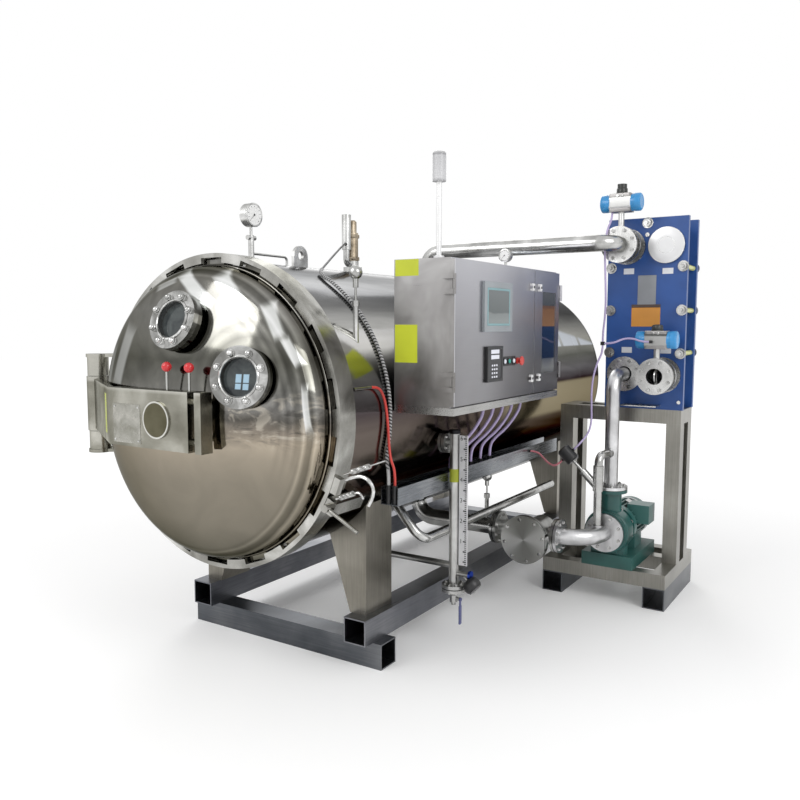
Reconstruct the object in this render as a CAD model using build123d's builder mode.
"""Retort sterilizer: insulated pressure vessel on a skid with a toothed quick-opening door,
control cabinet, plate heat exchanger and circulation pump on their own stand.

Frame in millimetres: +X towards the cabinet, +Y from the door to the rear head, +Z up.
The origin is on the floor, below the vessel's axis, at the skid's front face.
"""
import math
import os

from build123d import *

os.makedirs("parts", exist_ok=True)

# Driving sizes of the vessel
AXIS_Z = 1182.0
BORE_R = 600.0
SHELL_T = 8.0
LAGGING = 52.0
JACKET_R = BORE_R + SHELL_T + LAGGING
VESSEL_END = 2670.0
HEAD_DEPTH = 330.0
HEAD_T = SHELL_T + LAGGING
FIT = 0.3

# Quick-opening door, from front to rear
RING_FRONT = -426.0
LIP_T = 21.0
RUN = 5.0
DOOR_FLANGE_T = 24.0
SEAL_H = 2.7
VESSEL_FLANGE_T = 21.0
TEETH = 18
TOOTH_GAP = 121.0
TIP_GAP = 6.0
TOOTH_BITE = 14.0
WEB_GAP = 7.0
RING_WALL = 19.0
REAR_LIP_GAP = 8.0
JACKET_GAP = 8.0
DISH_RIM = 34.0
DISH_CROWN_R = 1268.0
DISH_KNUCKLE_R = 127.0
DISH_T = 10.0
SKIRT = 6.0
BEAD_R = 6.0

DISH_R = BORE_R + DISH_RIM
DOOR_ROOT_R = DISH_R + TIP_GAP
TOOTH_TIP_R = DOOR_ROOT_R + TIP_GAP
DOOR_TOOTH_R = TOOTH_TIP_R + TOOTH_BITE
WEB_R = DOOR_TOOTH_R + WEB_GAP
RING_R = WEB_R + RING_WALL
REAR_LIP_R = BORE_R + SHELL_T + REAR_LIP_GAP

PITCH = 360.0 / TEETH
DOOR_FRONT = RING_FRONT + LIP_T + RUN
DOOR_BACK = DOOR_FRONT + DOOR_FLANGE_T
FLANGE_FRONT = DOOR_BACK + SEAL_H + FIT
FLANGE_BACK = FLANGE_FRONT + VESSEL_FLANGE_T
RING_BACK = FLANGE_BACK + RUN + LIP_T
JACKET_FRONT = RING_BACK + JACKET_GAP
DISH_BASE = RING_FRONT - SKIRT
DISH_TURN = math.asin((DISH_R - DISH_KNUCKLE_R) / (DISH_CROWN_R - DISH_KNUCKLE_R))
CROWN_Y = DISH_BASE + (DISH_CROWN_R - DISH_KNUCKLE_R) * math.cos(DISH_TURN)
DISH_APEX = CROWN_Y - DISH_CROWN_R

# Sight glasses stand square to the dish
GLASS_R = 75.0
GLASS_RING_R = 122.0
GLASS_NECK_R = 96.0
GLASS_BORE_R = 66.0
GLASS_PANE_R = 84.0
GLASS_NECK = 16.0
GLASS_FLANGE_T = 20.0
GLASS_RING_T = 24.0
GLASS_PANE_T = 12.0
UPPER_GLASS_OUT = 386.0
LOWER_GLASS_OUT = 405.0
GLASS_SPOTS = ((86.0, UPPER_GLASS_OUT), (25.5, LOWER_GLASS_OUT))

# Door hinge and arm
HINGE_OUT = 114.0
HINGE_X = -RING_R - HINGE_OUT
PIN_R = 30.0
ARM_T = 60.0
ARM_GAP = 2.2
ARM_FACE = DISH_APEX - ARM_GAP - ARM_T
ARM_LEFT = -298.0
ARM_RIGHT = 178.0
ARM_H = 240.0
LINK_T = 26.0
KNUCKLE_R = 55.0
KNUCKLE_H = 264.0
BOSS_R = 76.0
BOSS_PROUD = 8.0
BEARING_R = 50.0
BEARING_H = 95.0
BRACKET_T = 16.0
BRACKET_REAR = -150.0
BRACKET_NEAR = -JACKET_R - 4.0
BEARING_GAP = 3.0
PIN_HALF = 240.0
END_GAP = 37.0
END_T = 35.0
END_BAR_R = 14.0
KNOB_X = (32.0, 160.0)
KNOB_RISE = 94.0
KNOB_R = 20.0
KNOB_ROD_R = 5.0
HINGE_Y = (DOOR_FRONT + DOOR_BACK) / 2 - (DOOR_BACK - RING_FRONT) / 2

# Skid and saddles
TUBE = 120.0
TUBE_T = 6.0
RAIL_X = 484.0
RAIL_FRONT = -64.0
RAIL_REAR = 2744.0
CROSS_HALF = 589.0
CROSS_Y = (-4.0, 2560.0)
RAIL_TOP = 2 * TUBE
SADDLE_Y = (0.0, 2330.0)
SADDLE_LEN = 210.0
SADDLE_OUT = 505.0
SADDLE_FOOT = 92.0
SADDLE_TOP = 300.0

# Control cabinet
CAB_GAP = 20.0
CAB_D = 290.0
CAB_X = JACKET_R + CAB_GAP
CAB_FACE = CAB_X + CAB_D
CAB_Y = -36.0
CAB_W = 1140.0
CAB_Z = 1222.0
CAB_H = 616.0
CAB_T = 3.0
CAB_DOOR_T = 18.0
CAB_FLANGE = 26.0
RIGHT_DOOR_W = 321.0
CAB_SEAM = 6.0
CAB_EDGE = 20.0
SHELF_H = 32.0
CAB_END = CAB_Y + CAB_W
CAB_TOP = CAB_Z + CAB_H
CAB_SPLIT = CAB_END - RIGHT_DOOR_W

# Exchanger
EX_X = 1260.0
EX_W = 445.0
EX_Y = 1690.0
EX_H = 1078.0
EX_PLATE_T = 30.0
EX_GAP = 195.0
EX_PACK_W = 352.0
PORT_DX = 108.0
PORT_LOW = 197.0
PORT_RISE = 724.0
PORT_R = 44.5
FLANGE_R = 100.0
FLANGE_T = 18.0

# Stand
STAND_X = 768.0
STAND_W = 708.0
STAND_Y = 1450.0
STAND_LEN = 630.0
STAND_TUBE = 80.0
FRAME_Y = EX_Y
FRAME_LEN = 250.0
FRAME_TOP = 1087.0
BASE_TOP = TUBE + STAND_TUBE

# Pump
PUMP_X = EX_X - PORT_DX
PUMP_Z = 410.0
PUMP_FACE = 1400.0
PUMP_BASE_W = 290.0
PUMP_OUT_Y = PUMP_FACE + 85.0
PUMP_OUT_Z = PUMP_Z + 235.0
PIPE_R = 44.5
RISER_R = 38.0
BOSS_OUT = 10.0


# Ring's interlock: a bracket and a hand lever outside the ring
LATCH_ANGLE = -27.7
LATCH_GAP = 10.0
LATCH_T = 48.0
LATCH_IN = RING_R + LATCH_GAP
LATCH_OUT = LATCH_IN + LATCH_T
LATCH_W = 60.0
LATCH_FACE = -440.0
LATCH_BACK = -240.0
LEVER_LEN = 168.0
LEVER_R = 8.0
LEVER_HUB_R = 16.0
LUG_ANGLE = -21.0
LUG_W = 70.0
LUG_H = 24.0
LUG_Y = (-424.0, -392.0)

# Tray for hoses along the vessel's right side
TRAY_X = 600.0
TRAY_W = 90.0
TRAY_Z = 775.0
TRAY_H = 80.0
TRAY_T = 4.0
TRAY_Y = (-20.0, 1830.0)
TRAY_SPOTS = (160.0, 860.0, 1560.0)

# Level gauge, its side valve and the drain valve under it
GAUGE_X = 720.0
GAUGE_Y = 435.0
GAUGE_R = 24.0
GAUGE_Z = (300.0, 1046.0)
GAUGE_CAP_H = 18.0
GAUGE_FLANGE_R = 58.0
GAUGE_TIE_TOP = 1004.0
GAUGE_TIE_LOW = 400.0
GAUGE_TIE_R = 16.0
GAUGE_TIE_X = 150.0
TIE_FLANGE_R = 54.0
TIE_FLANGE_X = 655.0
TIE_FLANGE_T = 16.0
GASKET = 2.0
SCALE_W = 48.0
SCALE_T = 6.0
SCALE_Z = (406.0, 1040.0)
SIDE_VALVE_Z = 365.0
SIDE_VALVE_R = 14.0
SIDE_VALVE_LEN = 84.0
SIDE_CAP_T = 12.0
GRIP_R = 36.0
GRIP_LEN = 46.0
GRIP_STEM_LEN = 56.0
GRIP_TILT = 40.0
DRAIN_R = 18.0
DRAIN_Z = 204.0
DRAIN_VALVE_Z = 236.0
DRAIN_STEM = 34.0
DRAIN_LEVER = 125.0
DRAIN_LEVER_T = 6.0

# Gauge, lug, transmitter, safety valve and probes on the vessel's top
DIAL_R = 52.0
DIAL_T = 40.0
DIAL_Y = -178.0
DIAL_Z = 2055.0
DIAL_STEM_R = 13.0
COCK_Z = 1955.0
COCK_R = 11.0
COCK_HALF = 24.0
GUARD_Z = 1885.0
GUARD_END = 65.0
GUARD_R = 6.0
LUG_PLATE_T = 16.0
LUG_PLATE_W = 104.0
LUG_HOLE_R = 20.0
LUG_HOLE_UP = 57.0
LUG_SPOTS = (162.0, 2350.0)
RELIEF_Y = 600.0
RELIEF_NOZZLE_R = 49.0
RELIEF_NOZZLE_H = 28.0
RELIEF_BASE_R = 32.0
RELIEF_BASE_H = 60.0
RELIEF_BODY_R = 30.0
RELIEF_BODY_H = 148.0
BONNET_R = 22.0
BONNET_H = 66.0
SENDER_OUT = 54.0
SENDER_R = 24.0
SENDER_LEG_R = 17.0
SENDER_BEND = 24.0
SENDER_LOW = 116.0
SENDER_H = 182.0
PROBE_R = 12.0
PROBE_NUT_R = 17.0
PROBE_STEM_R = 5.0
PROBE_HEAD_R = 29.0
PROBE_LEN = 272.0
LOW_PROBE_LEN = 240.0
PROBE_X = 573.0
PROBE_Y = -167.0
LOW_PROBE_X = 523.0
OVER_R = 44.5
OVER_Y = 1390.0
OVER_START = -2.0

# Alarm light on the cabinet
POLE_X = CAB_FACE - 100.0
POLE_Y = CAB_Y + 46.0
POLE_R = 11.0
POLE_TOP = CAB_TOP + 312.0
LAMP_R = 28.0
LAMP_H = 120.0

# Cabinet details: hinges, panel, recorder, buttons, window, cam locks and stays
CAB_HINGE_R = 8.0
CAB_HINGE_OUT = 4.0
CAB_HINGE_SIDE = 9.0
CAB_HINGE_H = 40.0
CAB_HINGE_IN = 108.0
CAB_HINGE_Z = (CAB_Z + CAB_HINGE_IN, CAB_TOP - CAB_HINGE_IN)
PANEL_IN = 270.0
PANEL_W = 315.0
PANEL_UP = 310.0
PANEL_H = 223.0
PANEL_T = 14.0
SCREEN_EDGE = 41.0
PANEL = (CAB_Y + PANEL_IN, CAB_Y + PANEL_IN + PANEL_W, CAB_Z + PANEL_UP, CAB_Z + PANEL_UP + PANEL_H)
SCREEN = (PANEL[0] + SCREEN_EDGE, PANEL[1] - SCREEN_EDGE, PANEL[2] + SCREEN_EDGE, PANEL[3] - SCREEN_EDGE)
RECORDER_IN = 283.0
RECORDER_W = 180.0
RECORDER_UP = 90.0
RECORDER_H = 158.0
RECORDER = (CAB_Y + RECORDER_IN, CAB_Y + RECORDER_IN + RECORDER_W, CAB_Z + RECORDER_UP,
            CAB_Z + RECORDER_UP + RECORDER_H)
BUTTON_IN = 506.0
BUTTON_STEP = 81.0
BUTTONS = 3
BUTTON_UP = 176.0
BUTTON_R = 16.0
WINDOW_IN = 45.0
WINDOW_W = 175.0
WINDOW_UP = 100.0
WINDOW_H = 407.0
WINDOW = (CAB_END - WINDOW_IN - WINDOW_W, CAB_END - WINDOW_IN,
          CAB_Z + WINDOW_UP, CAB_Z + WINDOW_UP + WINDOW_H)
LOCK_OUT = 46.0
LOCK_UP = (82.0, 525.0)
LOCK_R = 14.0
LOCKS = [(CAB_SPLIT + side * LOCK_OUT, CAB_Z + up) for side in (-1, 1) for up in LOCK_UP]
STAY_T = 60.0
STAY_LOW = CAB_Z + 48.0
STAY_HIGH = CAB_Z + 418.0
STAY_LOW_Y = (CAB_Y + 136.0, CAB_END - 144.0)
STAY_HIGH_Y = (CAB_Y + 556.0, CAB_END - 144.0)
AIR_GAUGE = (CAB_X + 120.0, CAB_Y + 843.0, CAB_TOP + 73.0)
AIR_GAUGE_R = 32.0

# Exchanger details
BOLT_DX = 201.0
BOLT_Z = (1406.0, 1648.0, 1890.0)
BOLT_R = 10.0
BOLT_NUT_R = 20.0
BOLT_NUT_H = 18.0
BOLT_OUT = 36.0
WASHER_R = 30.0
WASHER_T = 6.0
SLEEVE_R = 14.0
BAR_R = 14.0
BAR_DOWN = 28.0
PLUG_R = 12.0
PLUG_DOWN = 94.0
FOOT_BOLT_R = 10.0
FOOT_BOLT_UP = 46.0
PACK_MARGIN = 45.0
RECESS = 6.0
LEDGE = (1157.0, 1362.0)
LEDGE_UP = 21.0
LEDGE_D = 110.0
LEDGE_T = 6.0
WAFER_T = 46.0
WAFER_R = 66.0
STUB_LEN = 84.0
NECK_R = 16.0
LOW_ACT_RISE = 200.0
TOP_ACT_RISE = 228.0
ACT_LEN = 120.0
ACT_H = 84.0
ACT_CAP = 56.0
DISC_T = 8.0
DISC_CLEAR = 5.0
DOME_R = 26.0
DOME_H = 60.0

# Pump details
VOLUTE_R = 125.0
VOLUTE_T = 92.0
VOLUTE_EDGE = 14.0
PUMP_NECK_R = 62.0
PUMP_FLANGE_R = 118.0
PUMP_INLET_R = 108.0
ADAPTER_R = 118.0
ADAPTER_T = 24.0
MOTOR_R = 98.0
MOTOR_Y = (1590.0, 1900.0)
TERMINAL_UP = 12.0
TERMINAL_W = 76.0
TERMINAL_H = 108.0
FIN_H = 16.0
FIN_T = 5.0
FINS = 24
PUMP_BASE_Y = (1440.0, 1900.0)
PUMP_BASE_T = 75.0
PUMP_SILL_Y = 1800.0

# Suction line and tee
SUCTION_Y = 1188.0
SUCTION_BEND = 185.0
JOINT_X = 960.0
TEE_X = 835.0
TEE_R = 84.0
BLIND_R = 131.0
BLIND_Y = 1000.0
PIPE_FLANGE_R = 92.0
LEFT_JOINT_X = 600.0
INLET_X = 60.0
INLET_R = 47.0

# Steam line and the angle-seat valve
STEAM_X = 600.0
STEAM_Z = 528.0
STEAM_R = 23.0
STEAM_Y = (330.0, 1975.0)
ANGLE_X = 1130.0
ANGLE_Y = 1330.0
ANGLE_PIPE_R = 22.0
ANGLE_BODY_R = 28.0
ANGLE_BODY_Z = (655.0, 795.0)
ANGLE_TOP = 850.0
ANGLE_SEAT_Z = 672.0
ANGLE_TILT = 46.0
ANGLE_NECK_R = 21.0
ANGLE_NECK_LEN = 125.0
ANGLE_STEM_R = 9.0
ANGLE_STEM_LEN = 72.0
ANGLE_HEAD_R = 39.0
ANGLE_HEAD_LEN = 92.0
HOSE_PORT_R = 8.0
HOSE_PORT_LEN = 10.0

# Hoses, cables and the glands that hold them
AIR_TUBE_R = 7.0
AIR_TUBE_Y = (-316.0, -195.0)
TUBE_X = JACKET_R + 8.0
TUBE_Z = AXIS_Z + 125.0
GLAND_R = 12.0
CAB_GLAND_H = 24.0
CAB_HOSES = 5
CAB_HOSE_R = 8.0
CAB_HOSE_X = 800.0
CAB_HOSE_Y = 580.0
CAB_HOSE_STEP = 110.0
CAB_HOSE_BACK = 64.0
TRAY_HOSE_X = 650.0
SLEEVE_GLAND = (632.0, -6.0)
RED_GLAND = (664.0, -4.0)
PINK_GLAND = (1400.0, 830.0)
LEAD_R = 5.0
LEAD_UP = 27.0
LEAD_RUN = 45.0
LEAD_RUN_X = 1.0
LEAD_RUN_Y = 2.0
SLEEVE_CABLE_R = 8.0
SLEEVE_RUN_R = 675.0
SLEEVE_Y = -50.0
RED_HOSE_R = 6.0
AIR_HOSE_R = 5.5
TEE_SPOT = (1087.0, 1478.0, 1462.0)
SLEEVE_START = (240.0, 30.0, 1818.0)
SLEEVE_LEAD_IN = 55.0
SLEEVE_TURNS = (50.0, 37.0, 22.0, 7.0, -8.0)
SLEEVE_TOP_TURN = 60.0
SLEEVE_TOP_BACK = 4.0
SLEEVE_END_TURN = -17.0
SLEEVE_END_BACK = 2.0
SLEEVE_DROP_Z = 925.0
RED_BEND_Y = -148.0
RED_RUN = ((670.0, -112.0, 1280.0), (673.0, -90.0, 1225.0), (677.0, -80.0, 1140.0), (676.0, -72.0, 1060.0),
           (670.0, -50.0, 985.0))
RED_DROP_Z = 930.0
CAB_HOSE_TOP_Z = 1140.0
CAB_HOSE_SAGS = ((775.0, 12.0, 1080.0), (728.0, 32.0, 1010.0), (676.0, 52.0, 960.0))
CAB_HOSE_END_Z = 918.0
UPPER_AIR_PORT = (1104.0, 1534.0)
UPPER_AIR_RUN = ((1104.0, 1534.0, 2150.0), (1092.0, 1488.0, 2090.0), (1083.0, 1482.0, 2000.0),
                 (1088.0, 1481.0, 1900.0), (1094.0, 1480.0, 1790.0), (1098.0, 1480.0, 1680.0), (1094.0, 1479.0, 1585.0))
UPPER_AIR_END_Z = 1530.0
LOWER_AIR_START_X = 1298.0
LOWER_AIR_RUN = ((1252.0, 1493.0, 1492.0), (1198.0, 1488.0, 1490.0))
LOWER_AIR_END_X = 1145.0
VALVE_AIR_START_Z = 1412.0
VALVE_AIR_RUN = ((1064.0, 1468.0, 1360.0), (1046.0, 1455.0, 1285.0), (1040.0, 1447.0, 1200.0),
                 (1045.0, 1438.0, 1110.0), (1051.0, 1429.0, 1030.0), (1046.0, 1405.0, 965.0))
VALVE_AIR_LEAD = 55.0
TRAY_AIR_START_X = 745.0
TRAY_AIR_RUN = ((785.0, 1384.0, 800.0), (830.0, 1362.0, 772.0))
TRAY_AIR_LEAD = 52.0
TEE_HALF = 10.0

VESSEL_AXIS = Axis((0, 0, AXIS_Z), (0, 1, 0))
PROFILE = Plane(origin=(0, 0, AXIS_Z), x_dir=(0, 1, 0), z_dir=(-1, 0, 0))


def front_plane(y, x=0.0, z=AXIS_Z):
    """Plane that faces the front, with its normal towards -Y."""
    return Plane(origin=(x, y, z), x_dir=(1, 0, 0), z_dir=(0, -1, 0))


def block(x0, x1, y0, y1, z0, z1, mode=Mode.ADD):
    """Box between six coordinates, added to the open part."""
    with Locations(((x0 + x1) / 2, (y0 + y1) / 2, (z0 + z1) / 2)):
        Box(x1 - x0, y1 - y0, z1 - z0, mode=mode)


def rod(start, end, radius, mode=Mode.ADD):
    """Round bar from one point to another, added to the open part."""
    line = Vector(end) - Vector(start)
    with BuildSketch(Plane(origin=start, z_dir=line)) as section:
        Circle(radius)
    extrude(section.sketch, amount=line.length, mode=mode)


def pipe_run(points, bend, radius):
    """Solid round pipe along straight runs with rounded corners, added to the open part."""
    with BuildLine() as route:
        FilletPolyline(*points, radius=bend)
    with BuildSketch(Plane(origin=route.line @ 0, z_dir=route.line % 0)) as section:
        Circle(radius)
    sweep(section.sketch, path=route.line)


def hose(name, points, radius):
    """Hose of straight runs joined by arcs as large as the runs allow, added to the open part."""
    spots = [Vector(point) for point in points]
    radii = []
    for before, corner, after in zip(spots, spots[1:], spots[2:]):
        half_turn = math.radians((corner - before).get_angle(after - corner)) / 2
        shorter = min((corner - before).length, (after - corner).length)
        radii.append(0.45 * shorter / math.tan(half_turn))
    print(name, "radii", [round(value) for value in radii])
    with BuildLine() as route:
        FilletPolyline(*spots, radius=radii)
    with BuildSketch(Plane(origin=route.line @ 0, z_dir=route.line % 0)) as section:
        Circle(radius)
    sweep(section.sketch, path=route.line)


def round_jacket(degrees, radius, y):
    """Point beside the jacket, by its angle above the cabinet side and its distance from the axis."""
    turn = math.radians(degrees)
    return Vector(radius * math.cos(turn), y, AXIS_Z + radius * math.sin(turn))


def save(part, name):
    """Label one finished piece and write its STEP file."""
    part.label = name
    export_step(part, f"parts/{name}.step")


# Skid: two rails on two cross tubes, all open square tube
with BuildPart() as rails:
    for side in (-1, 1):
        centre = side * RAIL_X
        block(centre - TUBE / 2, centre + TUBE / 2, RAIL_FRONT, RAIL_REAR, TUBE, RAIL_TOP)
        block(centre - TUBE / 2 + TUBE_T, centre + TUBE / 2 - TUBE_T, RAIL_FRONT, RAIL_REAR,
              TUBE + TUBE_T, RAIL_TOP - TUBE_T, mode=Mode.SUBTRACT)
save(rails.part, "skid_rails")

with BuildPart() as crosses:
    for y in CROSS_Y:
        block(-CROSS_HALF, CROSS_HALF, y, y + TUBE, 0, TUBE)
        block(-CROSS_HALF, CROSS_HALF, y + TUBE_T, y + TUBE - TUBE_T, TUBE_T, TUBE - TUBE_T,
              mode=Mode.SUBTRACT)
save(crosses.part, "skid_cross_tubes")

# Saddle legs: plate boxes that lean in to the vessel and are cut to its jacket
with BuildPart() as saddles:
    for y in SADDLE_Y:
        with BuildSketch(front_plane(y + SADDLE_LEN, z=0)) as leg:
            for side in (-1, 1):
                foot_in = side * (SADDLE_OUT - SADDLE_FOOT)
                with BuildLine():
                    Polyline((side * SADDLE_OUT, RAIL_TOP), (side * SADDLE_OUT, AXIS_Z),
                             (side * SADDLE_TOP, AXIS_Z), (side * SADDLE_TOP, AXIS_Z / 2),
                             (foot_in, RAIL_TOP), close=True)
                make_face()
        extrude(amount=SADDLE_LEN)
    with BuildSketch(front_plane(VESSEL_END)):
        Circle(JACKET_R + FIT)
    extrude(amount=2 * VESSEL_END, mode=Mode.SUBTRACT)
save(saddles.part, "saddle_legs")

# Vessel: pressure shell with its front flange, jacket, and dished rear head
with BuildPart() as shell:
    with BuildSketch(PROFILE):
        with BuildLine():
            Polyline((FLANGE_FRONT, BORE_R), (FLANGE_FRONT, WEB_R - FIT), (FLANGE_BACK, WEB_R - FIT),
                     (FLANGE_BACK, BORE_R + SHELL_T), (VESSEL_END, BORE_R + SHELL_T),
                     (VESSEL_END, BORE_R), close=True)
        make_face()
    revolve(axis=VESSEL_AXIS)
save(shell.part, "pressure_shell")

with BuildPart() as jacket:
    with BuildSketch(PROFILE):
        with BuildLine():
            Polyline((JACKET_FRONT, BORE_R + SHELL_T + FIT), (JACKET_FRONT, JACKET_R),
                     (VESSEL_END, JACKET_R), (VESSEL_END, BORE_R + SHELL_T + FIT), close=True)
        make_face()
    revolve(axis=VESSEL_AXIS)
save(jacket.part, "insulation_jacket")

with BuildPart() as rear_head:
    with BuildSketch(PROFILE):
        with BuildLine():
            EllipticalCenterArc((VESSEL_END, 0), HEAD_DEPTH, JACKET_R, 0, arc_size=90)
            Line((VESSEL_END, JACKET_R), (VESSEL_END, BORE_R))
            EllipticalCenterArc((VESSEL_END, 0), HEAD_DEPTH - HEAD_T, BORE_R, 0, arc_size=90)
            Line((VESSEL_END + HEAD_DEPTH - HEAD_T, 0), (VESSEL_END + HEAD_DEPTH, 0))
        make_face()
    revolve(axis=VESSEL_AXIS)
save(rear_head.part, "rear_head")

# Lock ring: channel section whose front lip is cut into inward teeth
with BuildPart() as ring:
    with BuildSketch(PROFILE):
        with BuildLine():
            Polyline((RING_FRONT, TOOTH_TIP_R), (RING_FRONT, RING_R), (RING_BACK, RING_R),
                     (RING_BACK, REAR_LIP_R), (RING_BACK - LIP_T, REAR_LIP_R),
                     (RING_BACK - LIP_T, WEB_R), (RING_FRONT + LIP_T, WEB_R),
                     (RING_FRONT + LIP_T, TOOTH_TIP_R), close=True)
        make_face()
    revolve(axis=VESSEL_AXIS)
    with BuildSketch(front_plane(RING_FRONT + LIP_T)):
        with PolarLocations((TOOTH_TIP_R + WEB_R) / 2 - LIP_T / 2, TEETH, start_angle=90):
            Rectangle(WEB_R - TOOTH_TIP_R + LIP_T, TOOTH_GAP)
    extrude(amount=LIP_T, mode=Mode.SUBTRACT)
    with BuildSketch(front_plane(LUG_Y[1])):
        with PolarLocations(RING_R + LUG_H / 2, 1, start_angle=LUG_ANGLE):
            Rectangle(1.5 * LUG_H, LUG_W)
    extrude(amount=LUG_Y[1] - LUG_Y[0])
save(ring.part, "lock_ring")


def dish_spot(angle, radius, lift=0.0):
    """Plane that stands square to the dish's outside, its origin lifted off the surface."""
    across = math.cos(math.radians(angle)) * radius
    up = math.sin(math.radians(angle)) * radius
    slope = Vector(across, -math.sqrt(DISH_CROWN_R ** 2 - radius ** 2), up).normalized()
    return Plane(origin=Vector(0, CROWN_Y, AXIS_Z) + slope * (DISH_CROWN_R + lift), z_dir=slope)


# Door: dished end on a toothed flange, with two necks for the sight glasses
with BuildPart() as door:
    with BuildSketch(PROFILE):
        with BuildLine():
            turn = math.degrees(DISH_TURN)
            CenterArc((CROWN_Y, 0), DISH_CROWN_R, 180 - turn, turn)
            CenterArc((DISH_BASE, DISH_R - DISH_KNUCKLE_R), DISH_KNUCKLE_R, 90, 90 - turn)
            Polyline((DISH_BASE, DISH_R), (DOOR_FRONT, DISH_R), (DOOR_FRONT, DOOR_ROOT_R),
                     (DOOR_BACK, DOOR_ROOT_R), (DOOR_BACK, BORE_R), (DOOR_FRONT, BORE_R),
                     (DOOR_FRONT, DISH_R - DISH_T), (DISH_BASE, DISH_R - DISH_T))
            CenterArc((DISH_BASE, DISH_R - DISH_KNUCKLE_R), DISH_KNUCKLE_R - DISH_T, 90, 90 - turn)
            CenterArc((CROWN_Y, 0), DISH_CROWN_R - DISH_T, 180 - turn, turn)
            Line((DISH_APEX + DISH_T, 0), (DISH_APEX, 0))
        make_face()
    revolve(axis=VESSEL_AXIS)
    with BuildSketch(PROFILE):
        with Locations((RING_FRONT + BEAD_R / 2, DISH_R)):
            Circle(BEAD_R)
    revolve(axis=VESSEL_AXIS)
    with BuildSketch(front_plane(DOOR_BACK)):
        with PolarLocations((DOOR_TOOTH_R + BORE_R) / 2 + RUN, TEETH, start_angle=90):
            Rectangle(DOOR_TOOTH_R - BORE_R - 2 * RUN, TOOTH_GAP - 4 * RUN)
    extrude(amount=DOOR_FLANGE_T)
    for angle, radius in GLASS_SPOTS:
        with BuildSketch(dish_spot(angle, radius, -DISH_T)):
            Circle(GLASS_NECK_R)
        extrude(amount=DISH_T + GLASS_NECK)
        with BuildSketch(dish_spot(angle, radius, GLASS_NECK)):
            Circle(GLASS_RING_R)
        extrude(amount=GLASS_FLANGE_T)
        with BuildSketch(dish_spot(angle, radius, GLASS_NECK + GLASS_FLANGE_T)):
            Circle(GLASS_BORE_R)
        extrude(amount=-GLASS_NECK - GLASS_FLANGE_T - 4 * DISH_T, mode=Mode.SUBTRACT)
        with BuildSketch(dish_spot(angle, radius, GLASS_NECK + GLASS_FLANGE_T)):
            Circle(GLASS_PANE_R)
        extrude(amount=-GLASS_PANE_T, mode=Mode.SUBTRACT)
save(door.part, "door_dish")

with BuildPart() as glass_rings:
    for angle, radius in GLASS_SPOTS:
        with BuildSketch(dish_spot(angle, radius, GLASS_NECK + GLASS_FLANGE_T)):
            Circle(GLASS_RING_R)
            Circle(GLASS_R, mode=Mode.SUBTRACT)
        extrude(amount=GLASS_RING_T)
save(glass_rings.part, "sight_glass_rings")

with BuildPart() as panes:
    for angle, radius in GLASS_SPOTS:
        with BuildSketch(dish_spot(angle, radius, GLASS_NECK + GLASS_FLANGE_T)):
            Circle(GLASS_PANE_R - FIT)
        extrude(amount=FIT - GLASS_PANE_T)
save(panes.part, "sight_glass_panes")

# Door arm: cross box over the dish, slanted link and hinge knuckle
link_start = Vector(ARM_LEFT, ARM_FACE)
link_run = (Vector(HINGE_X, HINGE_Y) - link_start).normalized()
link_side = Vector(-link_run.Y, link_run.X) * -1
link_end = Vector(HINGE_X, HINGE_Y) - link_side * LINK_T
with BuildPart() as arm:
    with BuildSketch(Plane.XY.offset(AXIS_Z - ARM_H / 2)):
        with BuildLine():
            inner_end = link_end + link_side * LINK_T
            inner_start = link_start + link_side * LINK_T + link_run * LINK_T
            Polyline((ARM_RIGHT, ARM_FACE), (ARM_LEFT, ARM_FACE), (link_end.X, link_end.Y),
                     (inner_end.X, inner_end.Y), (inner_start.X, inner_start.Y),
                     (ARM_LEFT + ARM_T, ARM_FACE + ARM_T), (ARM_RIGHT, ARM_FACE + ARM_T), close=True)
        make_face()
    extrude(amount=ARM_H)
    with BuildSketch(Plane.XY.offset(AXIS_Z - KNUCKLE_H / 2)):
        with Locations((HINGE_X, HINGE_Y)):
            Circle(KNUCKLE_R)
    extrude(amount=KNUCKLE_H)
    with BuildSketch(Plane.XY.offset(AXIS_Z - KNUCKLE_H / 2)):
        with Locations((HINGE_X, HINGE_Y)):
            Circle(PIN_R + FIT)
    extrude(amount=KNUCKLE_H, mode=Mode.SUBTRACT)
    with BuildSketch(front_plane(DISH_APEX - FIT)):
        Circle(BOSS_R)
    extrude(amount=DISH_APEX - FIT - ARM_FACE + BOSS_PROUD)
    block(ARM_RIGHT + END_GAP, ARM_RIGHT + END_GAP + END_T, ARM_FACE, ARM_FACE + ARM_T,
          AXIS_Z - ARM_H / 2, AXIS_Z + ARM_H / 2)
    for side in (-1, 1):
        z = AXIS_Z + side * ARM_H / 3
        rod((ARM_RIGHT - END_T, ARM_FACE + ARM_T / 2, z),
            (ARM_RIGHT + END_GAP + END_T / 2, ARM_FACE + ARM_T / 2, z), END_BAR_R)
save(arm.part, "door_arm")

with BuildPart() as knobs:
    for x in KNOB_X:
        top = AXIS_Z + ARM_H / 2
        rod((x, ARM_FACE + ARM_T / 2, top + FIT), (x, ARM_FACE + ARM_T / 2, top + KNOB_RISE), KNOB_ROD_R)
        with Locations((x, ARM_FACE + ARM_T / 2, top + KNOB_RISE)):
            Sphere(KNOB_R)
save(knobs.part, "arm_knobs")

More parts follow.
